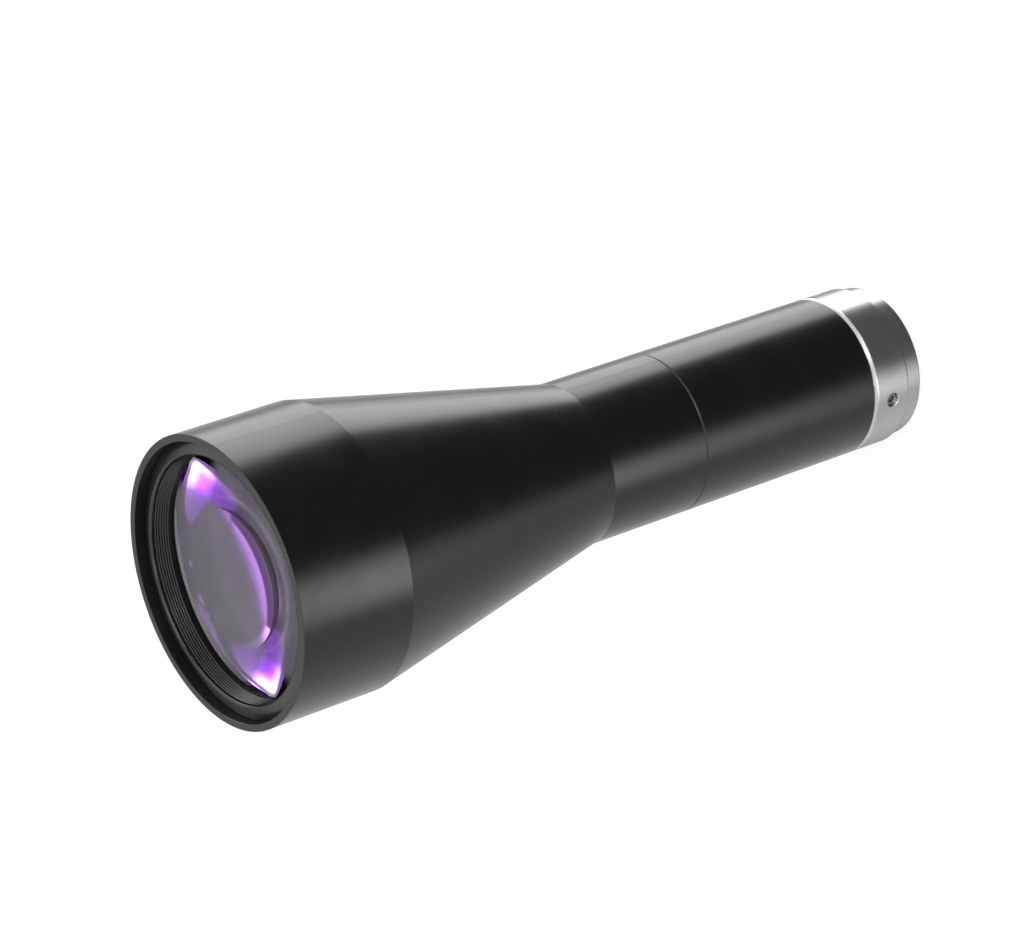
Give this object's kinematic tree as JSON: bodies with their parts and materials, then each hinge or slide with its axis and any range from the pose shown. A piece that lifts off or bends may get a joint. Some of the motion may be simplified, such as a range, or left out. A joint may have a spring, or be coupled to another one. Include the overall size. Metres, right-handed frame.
{
  "type": "telecentric lens",
  "caption": "Machine-vision telecentric lens: wide front barrel with a recessed coated lens, a cone, a slim tube and a plain-spigot mount ring.",
  "frame": {"origin": "centre of the rear face of the mount spigot, which the lens stands on", "axes": "+Z along the optical axis, from the mount to the front rim; one set screw faces -Y"},
  "size_m": [0.0764, 0.0764, 0.2175],
  "materials": {
    "black_anodised": "satin black anodised, finely turned",
    "bright_metal": "bright turned metal",
    "coated_glass": "polished, violet anti-reflection coating",
    "optical_glass": "polished, coated",
    "steel": "plain steel"
  },
  "bodies": {
    "root": {"front_housing": "black_anodised", "front_retaining_ring": "black_anodised", "front_crown_element": "coated_glass", "front_flint_element": "coated_glass", "front_baffle": "black_anodised", "rear_baffle": "black_anodised", "corrector_crown_element": "optical_glass", "corrector_flint_element": "optical_glass", "corrector_retaining_ring": "black_anodised", "rear_tube": "black_anodised", "stop_plate": "black_anodised", "stop_retaining_ring": "black_anodised", "relay_lens_cell": "black_anodised", "relay_front_element": "optical_glass", "relay_front_spacer": "black_anodised", "relay_crown_element": "optical_glass", "relay_flint_element": "optical_glass", "relay_rear_spacer": "black_anodised", "relay_rear_element": "optical_glass", "relay_retaining_ring": "black_anodised", "cell_lock_ring": "black_anodised", "mount_ring": "bright_metal", "set_screws": "steel"}
  },
  "joints": []
}
